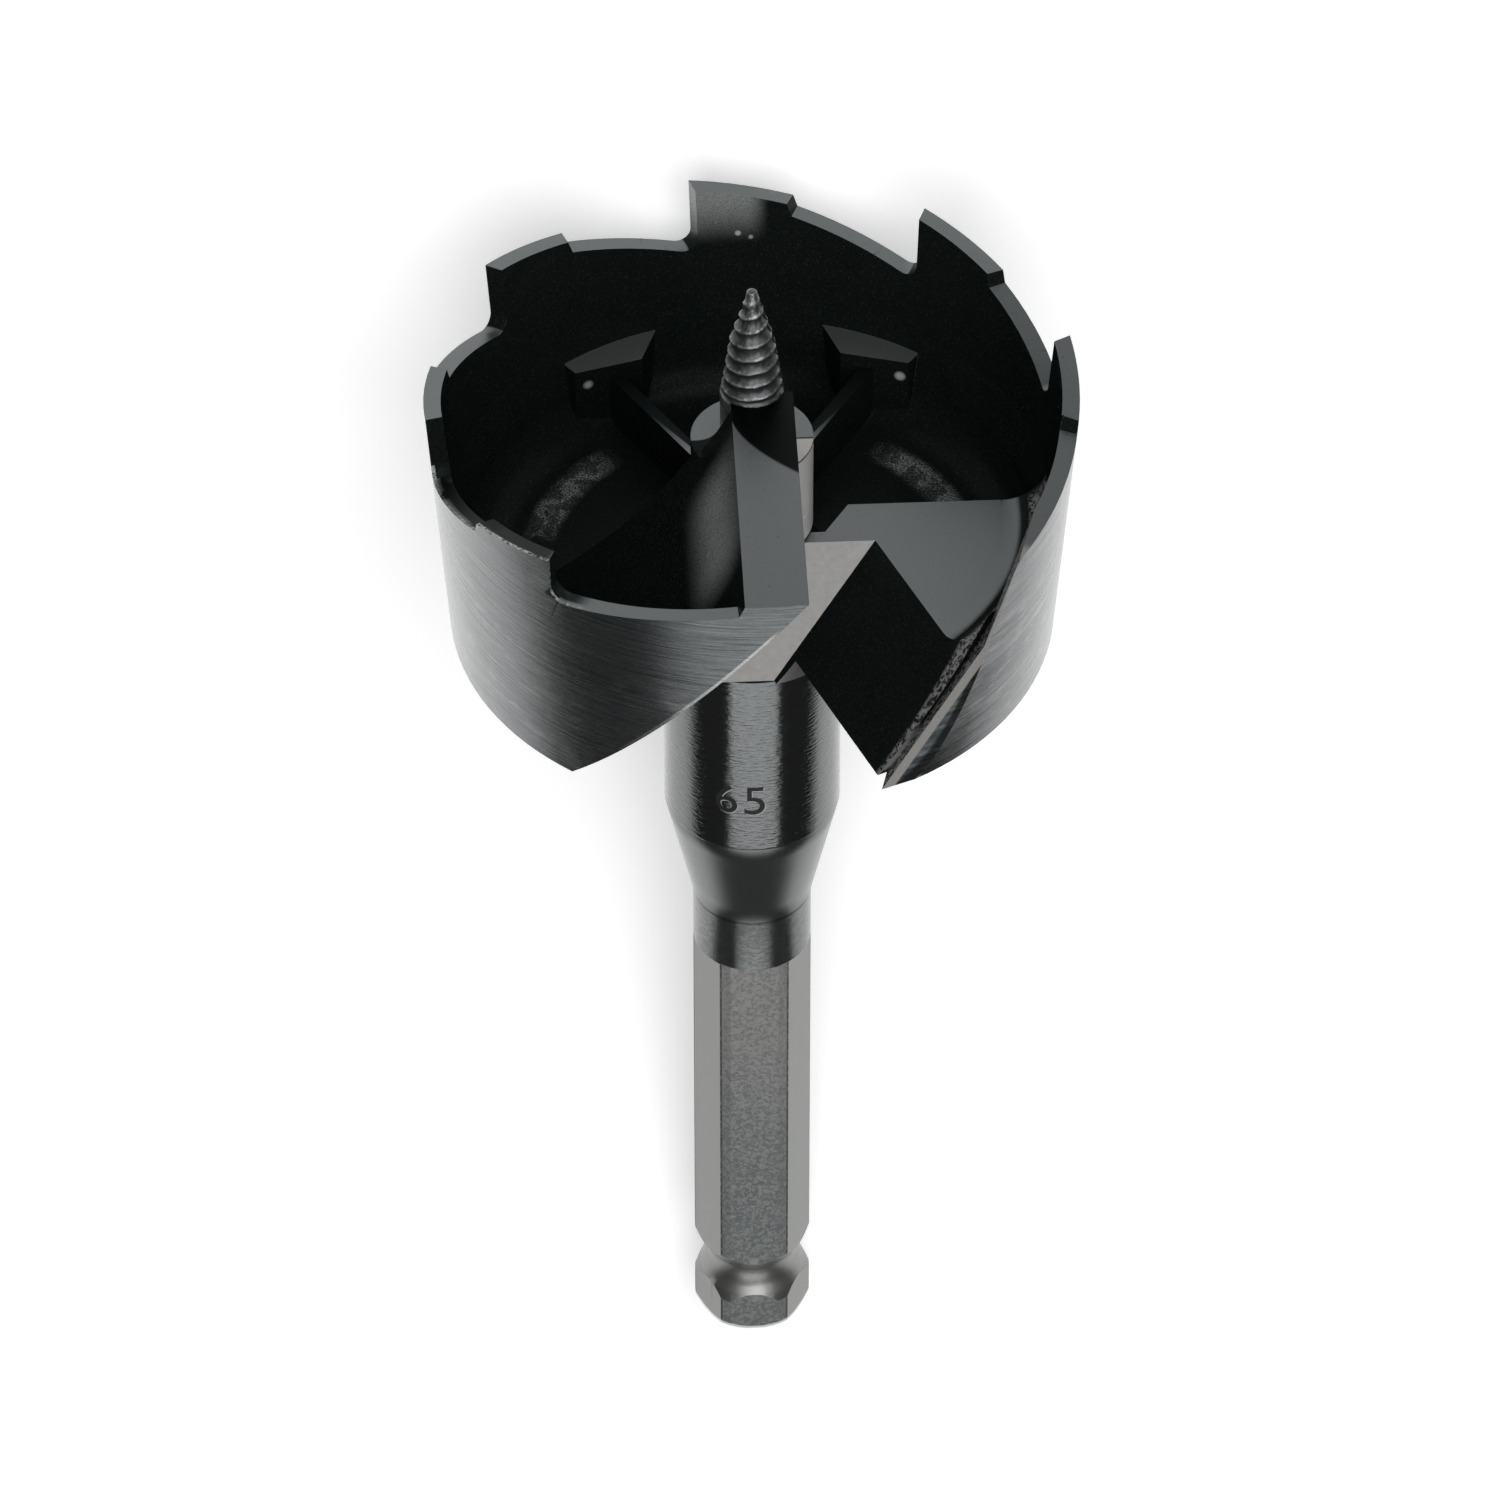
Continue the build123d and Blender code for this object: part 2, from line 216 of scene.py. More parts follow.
# Linear colours of the head
OXIDE = ((0.0058, 0.0078, 0.0072, 1), (0.0085, 0.0115, 0.0108, 1))
OXIDE_GRAIN = (0.06, 0.075, 0.072, 1)
# Black of the painted shade: the feed screw's shadow and reflection, and the flank's hollow
SHADE_BLACK = (0.004, 0.006, 0.005, 1)
# Darker land of the blunt tooth, and the painted shade in the gully beside it
DARK_LAND_AND_GULLY_SHADE = (0.01, 0.014, 0.013, 1)
# Grey of the painted highlights and of the lighter patch on the back tooth
HIGHLIGHT_GREY = (0.6, 0.63, 0.62, 1)
GROUND = ((0.135, 0.149, 0.151, 1), (0.2, 0.216, 0.218, 1))
GROUND_CLOUD = (0.175, 0.185, 0.185, 1)
GROUND_PIT = (0.06, 0.07, 0.07, 1)
PAD_TOP = (0.23, 0.245, 0.245, 1)
RIB_TOP = ((0.3, 0.32, 0.32, 1), (0.014, 0.018, 0.018, 1))
HUB_LIP = (0.4, 0.39, 0.37, 1)
LIP_LINE = (0.01, 0.012, 0.012, 1)
BRUSHED = ((0.09, 0.104, 0.109, 1), (0.225, 0.239, 0.241, 1))
BRUSHED_STREAK = (0.085, 0.1, 0.105, 1)
# Painted shade beside the throat on the right
BRUSHED_SHADE = (0.03, 0.04, 0.045, 1)
BRUSHED_RUB = (0.33, 0.34, 0.34, 1)
DARK_LINE = (0.035, 0.045, 0.048, 1)
LIGHT_LINE = (0.4, 0.41, 0.41, 1)
# Painted highlight along the cutting edge
EDGE_HIGHLIGHT = (0.55, 0.56, 0.55, 1)
RIM_BURR = (0.55, 0.57, 0.56, 1)
THROAT = ((0.2, 0.197, 0.19, 1), (0.3, 0.295, 0.286, 1))
THROAT_SPECK = (0.1, 0.105, 0.1, 1)
HUB_SIDE = (0.7, 0.69, 0.67, 1)
BEVEL_STRIP = ((0.3, 0.295, 0.28, 1), (0.5, 0.49, 0.47, 1))
WALL_BURR = ((0.03, 0.036, 0.035, 1), (0.4, 0.4, 0.39, 1))

# Linear colours of the shank
TURNED = ((0.155, 0.165, 0.168, 1), (0.205, 0.213, 0.213, 1))
COLLAR = ((0.13, 0.142, 0.144, 1), (0.245, 0.25, 0.25, 1))
NECK = ((0.15, 0.162, 0.164, 1), (0.235, 0.238, 0.235, 1))
HEX_SIDE = ((0.27, 0.27, 0.264, 1), (0.33, 0.328, 0.32, 1))
HEX_FRONT = ((0.165, 0.177, 0.178, 1), (0.24, 0.24, 0.232, 1))
PEBBLE_LIGHT = (0.3, 0.302, 0.295, 1)
PEBBLE_DARK = (0.105, 0.115, 0.116, 1)
# Painted shade in dashes beside the hexagon's front corners
CORNER_SHADE = (0.03, 0.035, 0.035, 1)
GROOVE = ((0.3, 0.3, 0.292, 1), (0.38, 0.378, 0.37, 1))
# Painted highlight along the edge of the shank's end
END_HIGHLIGHT = (0.75, 0.75, 0.73, 1)
JOINT_LINE = (0.012, 0.014, 0.014, 1)

# Linear colours of the painted shade in the thread's grooves, and of the size number's painted shade and
# painted highlight
THREAD_SHADE = ((0.03, 0.036, 0.036, 1), (0.2, 0.206, 0.203, 1))
MARK_SHADE = (0.03, 0.035, 0.035, 1)
MARK_HIGHLIGHT = (0.5, 0.52, 0.52, 1)


def new_material(name):
    material = bpy.data.materials.new(name)
    material.use_nodes = True
    material.node_tree.nodes.clear()
    return material


class Graph:
    """Short way to write node graphs."""

    def __init__(self, tree):
        self.tree = tree

    def node(self, kind, inputs=None, **settings):
        made = self.tree.nodes.new(kind)
        for key, value in settings.items():
            setattr(made, key, value)
        for key, value in (inputs or {}).items():
            if isinstance(value, bpy.types.NodeSocket):
                self.link(value, made.inputs[key])
            else:
                made.inputs[key].default_value = value
        return made

    def link(self, output, socket):
        self.tree.links.new(output, socket)

    def math(self, operation, *values):
        return self.node("ShaderNodeMath", dict(enumerate(values)), operation=operation).outputs[0]

    def fold(self, operation, values):
        """One operation over two or more values, from the left."""
        total = values[0]
        for value in values[1:]:
            total = self.math(operation, total, value)
        return total

    def add(self, *values):
        return self.fold("ADD", values)

    def sub(self, first, second):
        return self.math("SUBTRACT", first, second)

    def mul(self, *values):
        return self.fold("MULTIPLY", values)

    def most(self, *values):
        return self.fold("MAXIMUM", values)

    def mix(self, factor, first, second):
        """Colour between two colours."""
        inputs = {0: factor, 6: first, 7: second}
        return self.node("ShaderNodeMix", inputs, data_type="RGBA").outputs[2]

    def blend(self, factor, first, second):
        """Number between two numbers."""
        inputs = {0: factor, 2: first, 3: second}
        return self.node("ShaderNodeMix", inputs, data_type="FLOAT").outputs[0]

    def step(self, value, low, high):
        """0 at the low value and 1 at the high one, with soft ends."""
        inputs = {0: value, 1: low, 2: high}
        return self.node("ShaderNodeMapRange", inputs, interpolation_type="SMOOTHSTEP").outputs[0]

    def band(self, value, low, high, soft):
        """1 between two values and 0 outside them."""
        rise = self.step(value, low - soft, low + soft)
        fall = self.step(value, high + soft, high - soft)
        return self.mul(rise, fall)

    def vector(self, x, y, z):
        return self.node("ShaderNodeCombineXYZ", {0: x, 1: y, 2: z}).outputs[0]

    def noise(self, place, scale, detail=2.0, roughness=0.5, distortion=0.0):
        return self.node("ShaderNodeTexNoise", {
            "Vector": place, "Scale": scale,
            "Detail": detail, "Roughness": roughness, "Distortion": distortion}).outputs[0]

    def in_bit(self, socket, unit, origin):
        """World place (with the origin) or direction (without) in the bit's own frame, as three numbers."""
        rows = []
        for row in to_bit[:3]:
            direction = tuple(value / unit for value in row[:3])
            product = self.node("ShaderNodeVectorMath", {0: socket, 1: direction}, operation="DOT_PRODUCT")
            part = product.outputs["Value"]
            rows.append(self.add(part, row[3] / unit) if origin else part)
        return rows

    def steel(self, colour, roughness, metallic, height, depth, film=0.0, gloss=0.5):
        """Steel with a thin film of oil and a bump whose height of 1 stands for the depth in millimetres."""
        bump = self.node("ShaderNodeBump", {"Strength": 1.0, "Distance": depth * MM, "Height": height})
        shader = self.node("ShaderNodeBsdfPrincipled", {
            "Base Color": colour, "Roughness": roughness, "Metallic": metallic, "Specular IOR Level": gloss,
            "Coat Weight": film, "Coat Roughness": OIL_ROUGHNESS, "Coat IOR": OIL_IOR,
            "Normal": bump.outputs[0], "Coat Normal": bump.outputs[0]})
        out = self.node("ShaderNodeOutputMaterial")
        self.link(shader.outputs[0], out.inputs[0])


class Surface:
    """Where a shaded point lies in the bit's own frame, in millimetres, and how it faces."""

    def __init__(self, g):
        self.x, self.y, self.level = g.in_bit(g.node("ShaderNodeTexCoord").outputs["Object"], MM, True)
        self.nx, self.ny, self.nz = g.in_bit(g.node("ShaderNodeNewGeometry").outputs["Normal"], 1.0, False)
        self.spot = g.vector(self.x, self.y, self.level)
        self.radius = g.math("SQRT", g.add(g.mul(self.x, self.x), g.mul(self.y, self.y)))
        self.angle = g.math("ARCTAN2", self.x, g.mul(self.y, -1.0))
        self.turn = g.math("ABSOLUTE", self.angle)
        self.forward = g.mul(self.ny, -1.0)

    def unrolled(self, g, per_turn, per_level, third):
        """Place for a pattern that runs round the axis."""
        return g.vector(g.mul(self.angle, per_turn), g.mul(self.level, per_level), third)


def grey(value, warmth=0.0):
    """Linear colour of a grey, a little warmer or cooler."""
    return (value * (1 + warmth), value, value * (1 - warmth), 1)


class HeadZones:
    """Masks of the head: 1 on one kind of surface and 0 on the others, soft between them."""

    def __init__(self, g, at):
        wall_slope = (TIP_RADIUS - RIM_FOOT_RADIUS) / HEAD_HEIGHT
        wall_radius = g.add(g.mul(g.sub(at.level, RIM_FOOT), wall_slope), RIM_FOOT_RADIUS)
        outward = g.math("DIVIDE", g.add(g.mul(at.x, at.nx), g.mul(at.y, at.ny)), at.radius)
        self.from_wall = g.sub(at.radius, wall_radius)
        self.outside = g.mul(g.step(self.from_wall, -0.35, -0.2), g.step(outward, 0.8, 0.9))
        self.flat = g.mul(g.step(at.nz, 0.9, 0.96), g.step(at.level, FLOOR_LEVEL - 0.6, FLOOR_LEVEL - 0.3))
        self.near_rim = g.mul(g.step(at.radius, *RIM_PART), g.step(outward, 0.7, 0.6))
        self.right_part = g.step(at.x, *RIGHT_PART)
        self.outer_part = g.step(at.radius, *WALL_PART)
        inner_part = g.mul(g.step(at.radius, *reversed(WALL_PART)), g.step(at.y, -1.5, -2.5))
        self.throat = g.mul(g.step(at.forward, 0.8, 0.88), inner_part)
        self.find_hub(g, at)
        self.find_wall_end(g, at)
        self.find_left_rim(g, at)
        self.find_ribs(g, at)

    def find_hub(self, g, at):
        """Painted shadow and reflection of the feed screw on the blade's corner, painted shade over the
        hollow beside it, lip and bright side of the hub.
        """
        beside = g.mul(g.step(at.radius, HUB_RADIUS + 0.9, HUB_RADIUS + 0.5),
                       g.step(at.x, BLADE_SIDE - 0.1, BLADE_SIDE + 0.2))
        facing = g.mul(g.step(at.y, 0.5, -0.5), g.step(at.nz, 0.5, 0.3))
        self.hub_side = g.mul(beside, facing, g.band(at.level, FLOOR_LEVEL + 0.3, HUB_LEVEL - 0.2, 0.15))

        # Painted shadow and reflection of the feed screw: the blade's top is black on the screw's side of a
        # bow
        bow = g.math("SQRT", g.most(g.sub(at.x, SCREW_SHADE_START[0]), 0.0))
        past_bow = g.add(g.sub(at.y, SCREW_SHADE_START[1]), g.mul(bow, SCREW_SHADE_BOW))
        blade_top = g.mul(g.step(at.level, TIP_LEVEL - 3.2, TIP_LEVEL - 2.8),
                          g.step(at.radius, SCREW_SHADE_REACH, SCREW_SHADE_REACH - 0.5))
        corner = g.mul(g.step(past_bow, -0.3, 0.3), blade_top)
        hub_top = g.band(at.level, HUB_LEVEL - 0.3, HUB_LEVEL + 0.3, 0.1)
        # Painted shade of the flank's hollow: the hub's top is black beyond a cubic curve
        rise = g.math("POWER", g.most(g.sub(at.x, HOLLOW_START[0]), 0.0), 3.0)
        hollow_edge = g.add(g.mul(rise, HOLLOW_RISE), HOLLOW_START[1])
        hollow = g.mul(g.step(g.sub(hollow_edge, at.y), -0.1, 0.1), g.step(at.x, -1.0, -1.5), hub_top)
        self.screw_and_hollow_shade = g.mul(g.most(corner, hollow), self.flat)

        right_top = g.mul(hub_top, g.step(at.x, 2.5, 3.0))
        self.hub_lip = g.mul(right_top, g.step(at.y, -0.5, -0.8))
        self.lip_line = g.mul(right_top, g.band(at.y, -0.7, -0.5, 0.08))

    def find_wall_end(self, g, at):
        """Slanted end of the wall: its burred face, the bevel beside it and the distance from its edge."""
        bevel_facing = g.add(g.mul(at.nx, BEVEL_FACING[0]), g.mul(at.forward, BEVEL_FACING[1]))
        self.wall_side = g.mul(g.step(bevel_facing, 0.97, 0.985), self.right_part, self.outer_part)
        height = g.sub(at.level, RIM_FOOT)
        foot_edge = g.sub(g.mul(height, -1 / FOOT_EDGE_SLOPE), FOOT_EDGE_PLACE)
        top_edge = g.sub(g.mul(g.sub(height, EDGE_BEND), -1 / TOP_EDGE_SLOPE), TOP_EDGE_PLACE)
        across = g.add(g.mul(at.x, EDGE_ACROSS[0]), g.mul(at.y, EDGE_ACROSS[1]))
        self.from_edge = g.add(across, g.most(foot_edge, top_edge))
        self.bevel_strip = g.mul(self.wall_side, g.step(self.from_edge, 1.25, 1.05))
        end_face = g.mul(g.step(at.nx, -0.45, -0.55), g.step(at.y, 2.0, 0.0), g.step(at.nz, 0.15, 0.25))
        self.wall_end = g.mul(end_face, self.right_part, self.outer_part)

    def find_left_rim(self, g, at):
        """Blunt land of one tooth and the gully beside it, where shade is painted."""
        self.blunt = g.mul(g.band(at.angle, *BLUNT_TURN, 0.03), g.step(at.radius, *RIM_PART))
        below_land = g.step(at.level, TIP_LEVEL - 1.4, TIP_LEVEL - 1.8)
        in_gully = g.mul(g.band(at.angle, *GULLY_TURN, 0.04), below_land)
        self.gully = g.mul(in_gully, self.near_rim, g.step(at.nz, 0.1, 0.3))

    def find_ribs(self, g, at):
        """Tops of the pads and of the ribs, which darken away from the hub."""
        behind = g.mul(g.step(at.turn, 2.0, 2.1), g.step(at.radius, 7.0, 7.6))
        self.pad = g.mul(behind, g.step(at.level, PAD_LEVEL + 0.5, PAD_LEVEL + 0.3))
        self.rib = g.mul(behind, g.step(at.level, FLOOR_LEVEL + 0.4, FLOOR_LEVEL + 0.2))
        aside = g.math("ABSOLUTE", at.x)
        across = g.add(g.mul(aside, RIB_ACROSS[0]), g.mul(at.y, RIB_ACROSS[1]))
        wedge = g.add(g.mul(at.radius, WEDGE_TAPER), WEDGE_START)
        self.rib_faded = g.most(g.step(at.radius, 9.0, 20.0), g.step(g.sub(across, wedge), -0.2, 0.1))


class HeadGrain:
    """Noises of the head, from the broad clouds to the fine grain."""

    def __init__(self, g, at):
        self.clouds = g.noise(at.spot, 0.25, 3.0, 0.55)
        self.grain = g.noise(at.spot, 5.0, 4.0, 0.6)
        self.fine = g.noise(at.spot, 14.0, 3.0, 0.6)
        self.brush = g.noise(at.unrolled(g, 4.5, 5.0, at.radius), 1.0, 4.0, 0.65)
        self.streaks = g.noise(at.unrolled(g, 1.6, 1.3, 4.0), 1.0, 3.0, 0.6)
        along_blade = g.vector(g.mul(at.x, 0.35), g.mul(at.y, 3.0), g.mul(at.level, 3.0))
        self.grind = g.noise(along_blade, 2.0, 3.0, 0.6)


def painted_highlights(g, at, grain):
    """Painted highlights on the flank, along the pocket troughs and as small glints, and a lighter patch on
    the back tooth.
    """
    # Painted highlight on the blade's flank
    flank = g.mul(g.band(at.x, *FLANK_X, 2.3), g.band(at.y, *FLANK_Y, 3.5), g.step(at.nx, -0.1, -0.65))
    flank = g.mul(flank, g.step(at.level, FLOOR_LEVEL, FLOOR_LEVEL + 3), g.step(grain.grain, 0.2, 0.58))
    # Lighter patch on the back tooth's inner face
    tooth = g.mul(g.band(at.x, *TOOTH_X, 1.2), g.step(at.y, *TOOTH_Y), g.step(at.level, *TOOTH_LEVEL))
    tooth = g.mul(tooth, g.step(grain.fine, 0.2, 0.75))
    # Painted highlight, an arc of reflection, along the pocket troughs
    trough = g.mul(g.band(at.radius, *TROUGH_RADIUS, 0.7), g.band(at.turn, *TROUGH_TURN, 0.1))
    trough = g.mul(trough, g.step(at.level, *TROUGH_LEVEL), g.step(at.nz, 0.2, 0.4))
    patches = g.step(g.noise(at.spot, 0.45, 3.0, 0.7, 0.5), 0.44, 0.56)
    trough = g.mul(trough, g.step(grain.grain, 0.35, 0.7), g.blend(patches, 0.25, 1.0))
    highlight_mask = g.most(flank, g.mul(trough, 0.6), tooth)
    # Painted glints
    for centre, size in GLINTS:
        away = g.node("ShaderNodeVectorMath", {0: at.spot, 1: centre}, operation="DISTANCE").outputs["Value"]
        highlight_mask = g.most(highlight_mask, g.step(away, size, 0.45 * size))
    return highlight_mask


def ground_colour(g, at, zones, grain):
    """Ground tops: blade, rim, plate, hub, pads and ribs."""
    colour = g.mix(grain.fine, *GROUND)
    colour = g.mix(g.mul(g.step(grain.clouds, 0.4, 0.62), 0.35), colour, GROUND_CLOUD)
    pits = g.step(g.noise(at.spot, 2.4, 4.0, 0.7), 0.62, 0.68)
    colour = g.mix(g.mul(pits, 0.45), colour, GROUND_PIT)
    colour = g.mix(g.mul(zones.blunt, 0.93), colour, DARK_LAND_AND_GULLY_SHADE)
    colour = g.mix(zones.pad, colour, PAD_TOP)
    colour = g.mix(zones.rib, colour, g.mix(zones.rib_faded, *RIB_TOP))
    colour = g.mix(zones.hub_lip, colour, HUB_LIP)
    return g.mix(zones.lip_line, colour, LIP_LINE)


def brushed_colour(g, at, zones, grain):
    """Brushed outside of the wall, with painted shade beside the throat on the right."""
    colour = g.mix(grain.brush, *BRUSHED)
    colour = g.mix(g.mul(g.step(grain.streaks, 0.5, 0.68), 0.45), colour, BRUSHED_STREAK)
    # Painted shade on the outside beside the throat, on the right
    shade = g.mul(g.step(zones.from_edge, 13.0, 2.0), zones.right_part, g.step(at.y, 4.0, 0.0))
    colour = g.mix(g.mul(shade, g.step(grain.streaks, 0.3, 0.6), 0.85), colour, BRUSHED_SHADE)
    rubbed = g.step(g.noise(at.unrolled(g, 9.0, 0.9, 7.0), 1.0, 4.0, 0.7), 0.5, 0.62)
    rubbed = g.mul(rubbed, g.band(at.level, RIM_FOOT, RIM_FOOT + 17.0, 3.0))
    colour = g.mix(g.mul(rubbed, 0.4), colour, BRUSHED_RUB)
    lines = g.noise(at.unrolled(g, 2.2, 3.4, 11.0), 1.0, 5.0, 0.75)
    colour = g.mix(g.mul(g.step(lines, 0.5, 0.38), 0.75), colour, DARK_LINE)
    return g.mix(g.mul(g.step(lines, 0.56, 0.68), 0.35), colour, LIGHT_LINE)


def throat_colour(g, at, grain):
    """Bright ground back of the throat, with small specks."""
    colour = g.mix(g.noise(at.spot, 1.4, 4.0, 0.65), *THROAT)
    return g.mix(g.mul(g.step(grain.grain, 0.62, 0.72), 0.3), colour, THROAT_SPECK)


def edge_highlight(g, at):
    """Painted highlight along the cutting edge on the front of the wall."""
    behind = g.add(g.sub(at.x, BLADE_SIDE), g.mul(g.sub(TIP_LEVEL, at.level), EDGE_LEAN / HEAD_HEIGHT))
    line = g.mul(g.band(behind, -0.4, 0.3, 0.06), g.step(at.y, -27.0, -28.0))
    return g.mul(line, g.step(at.level, TIP_LEVEL - 3.0, TIP_LEVEL - 5.0), 0.8)


def rim_burr(g, at, zones):
    """Ragged light burr along the outer edge of the blunt tooth and its gully."""
    ragged = g.step(g.noise(at.spot, 1.6, 4.0, 0.75, 0.8), 0.4, 0.6)
    edge = g.mul(g.step(zones.from_wall, -0.42, -0.3), g.most(zones.gully, zones.blunt))
    return g.mul(edge, zones.near_rim, ragged, 0.8)


def head_colour(g, at, zones, grain, highlight_mask):
    """Colours of the head from the black oxide up."""
    colour = g.mix(grain.clouds, *OXIDE)
    colour = g.mix(g.mul(g.step(grain.grain, 0.5, 0.75), 0.3), colour, OXIDE_GRAIN)
    # Painted highlights on the flank, along the troughs and as glints, and the back tooth's lighter patch
    colour = g.mix(highlight_mask, colour, HIGHLIGHT_GREY)
    colour = g.mix(zones.flat, colour, ground_colour(g, at, zones, grain))
    colour = g.mix(g.most(zones.outside, zones.wall_side), colour, brushed_colour(g, at, zones, grain))
    # Painted highlight along the cutting edge
    colour = g.mix(edge_highlight(g, at), colour, EDGE_HIGHLIGHT)
    colour = g.mix(zones.throat, colour, throat_colour(g, at, grain))
    colour = g.mix(zones.hub_side, colour, HUB_SIDE)
    colour = g.mix(zones.bevel_strip, colour, g.mix(grain.grain, *BEVEL_STRIP))
    burr = g.noise(g.vector(at.x, at.y, g.mul(at.level, 0.8)), 2.2, 3.0, 0.7, 0.8)
    colour = g.mix(zones.wall_end, colour, g.mix(g.step(burr, 0.42, 0.6), *WALL_BURR))
    # Painted shade: black by the feed screw on the blade and over the flank's hollow on the hub
    colour = g.mix(zones.screw_and_hollow_shade, colour, SHADE_BLACK)
    # Painted shade in the gully beside the blunt tooth
    colour = g.mix(g.mul(zones.gully, g.step(zones.from_wall, -0.5, -0.8)), colour, DARK_LAND_AND_GULLY_SHADE)
    return g.mix(rim_burr(g, at, zones), colour, RIM_BURR)


def head_material():
    """Black oxide, with ground teeth and blade, a brushed outside and a bright ground throat."""
    material = new_material("black_oxide_steel")
    g = Graph(material.node_tree)
    at = Surface(g)
    zones = HeadZones(g, at)
    grain = HeadGrain(g, at)
    highlight_mask = painted_highlights(g, at, grain)
    colour = head_colour(g, at, zones, grain, highlight_mask)

    roughness = g.blend(grain.clouds, 0.22, 0.3)
    roughness = g.blend(zones.flat, roughness, g.blend(grain.fine, 0.34, 0.44))
    roughness = g.blend(zones.outside, roughness, g.blend(grain.brush, 0.2, 0.32))
    roughness = g.blend(zones.throat, roughness, 0.42)
    bare = g.most(zones.flat, zones.outside)
    # Partly metallic: the painted highlights and patch, the hub's side, the bevel and the wall's end
    part_metallic = g.most(highlight_mask, zones.hub_side, zones.bevel_strip, zones.wall_end)
    metallic_parts = g.most(bare, zones.throat, part_metallic)
    metallic = g.blend(bare, 0.84, g.blend(zones.flat, 0.95, 0.75))
    metallic = g.blend(metallic_parts, 0.1, g.blend(part_metallic, metallic, 0.35))
    # Where shade is painted the steel is fully metallic, so its black mirrors almost nothing
    metallic = g.blend(zones.screw_and_hollow_shade, metallic, 1.0)
    height = g.add(g.mul(grain.grain, 0.7), g.mul(grain.fine, 0.3))
    height = g.blend(zones.flat, height, g.add(g.mul(grain.grind, 0.4), g.mul(grain.fine, 0.2)))
    height = g.blend(zones.outside, height, g.add(grain.brush, g.mul(grain.fine, 0.1)))
    g.steel(colour, roughness, metallic, height, 0.02, film=g.mul(zones.outside, 0.8), gloss=HEAD_GLOSS)
    return material


class ShankZones:
    """Masks of the shank: 1 on one kind of surface and 0 on the others."""

    def __init__(self, g, at):
        self.hexagon = g.step(at.level, HEX_TOP + 0.15, HEX_TOP - 0.15)
        self.front = g.mul(self.hexagon, g.step(at.forward, 0.9, 0.97))
        self.neck = g.band(at.level, HEX_TOP, TAPER_LEVEL, 0.1)
        self.collar = g.step(at.level, COLLAR_LEVEL - 0.1, COLLAR_LEVEL + 0.1)
        self.find_corners(g, at)
        in_groove = g.band(at.level, GROOVE_LEVEL - 3.3, GROOVE_LEVEL + 3.3, 0.2)
        self.groove = g.mul(in_groove, g.step(at.radius, HEX_FLAT + 0.05, HEX_FLAT - 0.05))
        # Painted highlight on the flats just above the end's chamfer
        above_end = g.sub(at.level, g.most(g.sub(at.radius, END_RADIUS), 0.0))
        self.end_highlight = g.mul(g.step(above_end, 0.4, 0.25), g.step(at.nz, -0.3, -0.2))
        head_joint = g.band(at.level, COLLAR_TOP - 0.22, COLLAR_TOP + 0.1, 0.05)
        neck_line = g.band(at.level, TAPER_LEVEL - 0.25, TAPER_LEVEL + 0.05, 0.08)
        self.joint = g.most(head_joint, g.mul(neck_line, 0.6))

    def find_corners(self, g, at):
        """Rounded corners of the hexagon off the groove and the end, and a dashed line of painted shade
        beside the front two.
        """
        below = g.step(at.level, GROOVE_LEVEL - 3.2, GROOVE_LEVEL - 3.6)
        off_groove = g.add(g.step(at.level, GROOVE_LEVEL + 3.0, GROOVE_LEVEL + 3.6), below)
        on_side = g.mul(off_groove, g.step(g.math("ABSOLUTE", at.nz), 0.6, 0.4), self.hexagon)
        degrees = g.add(g.mul(at.angle, 180 / math.pi), 360.0 + CORNER_TURN)
        from_corner = g.math("PINGPONG", degrees, CORNER_TURN)
        self.corner = g.mul(on_side, g.step(from_corner, 6.4, 5.4))
        past_corner = g.sub(at.turn, math.radians(CORNER_TURN))
        self.corner_shade_line = g.mul(on_side, g.band(past_corner, *CORNER_LINE_TURN, 0.006))


class ShankGrain:
    """Noises of the shank."""

    def __init__(self, g, at):
        self.fine = g.noise(at.spot, 12.0, 3.0, 0.6)
        self.pebbles = g.noise(at.spot, 2.3, 3.0, 0.55, 0.8)
        self.clouds = g.noise(at.spot, 0.35, 3.0, 0.55)
        self.turning = g.noise(at.unrolled(g, 9.0, 4.0, 2.0), 1.0, 2.0, 0.5)
        self.scratches = g.noise(at.unrolled(g, 5.0, 2.2, 1.0), 1.2, 4.0, 0.7, 1.5)


def hex_front_colour(g, at, grain):
    """Pebbled front and corners of the hexagon, lighter towards the head."""
    colour = g.mix(g.step(at.level, *HEX_TONE), *HEX_FRONT)
    colour = g.mix(g.mul(g.step(grain.pebbles, 0.46, 0.6), 0.5), colour, PEBBLE_LIGHT)
    return g.mix(g.mul(g.step(grain.pebbles, 0.5, 0.4), 0.4), colour, PEBBLE_DARK)


def shank_colour(g, at, zones, grain):
    """Colours of the shank from the head's joint to its end."""
    colour = g.mix(grain.clouds, *TURNED)
    colour = g.mix(g.mul(zones.collar, 0.8), colour, g.mix(grain.turning, *COLLAR))
    colour = g.mix(zones.neck, colour, g.mix(g.step(grain.scratches, 0.4, 0.66), *NECK))
    colour = g.mix(zones.hexagon, colour, g.mix(grain.fine, *HEX_SIDE))
    front = hex_front_colour(g, at, grain)
    colour = g.mix(zones.front, colour, front)
    colour = g.mix(zones.corner, colour, front)
    # Painted shade: a dashed dark line beside the front corners
    shade_dashes = g.mul(zones.corner_shade_line, g.step(grain.pebbles, 0.4, 0.5))
    colour = g.mix(g.mul(shade_dashes, 0.85), colour, CORNER_SHADE)
    colour = g.mix(zones.groove, colour, g.mix(grain.fine, *GROOVE))
    # Painted highlight along the end's edge
    colour = g.mix(zones.end_highlight, colour, END_HIGHLIGHT)
    return g.mix(zones.joint, colour, JOINT_LINE)


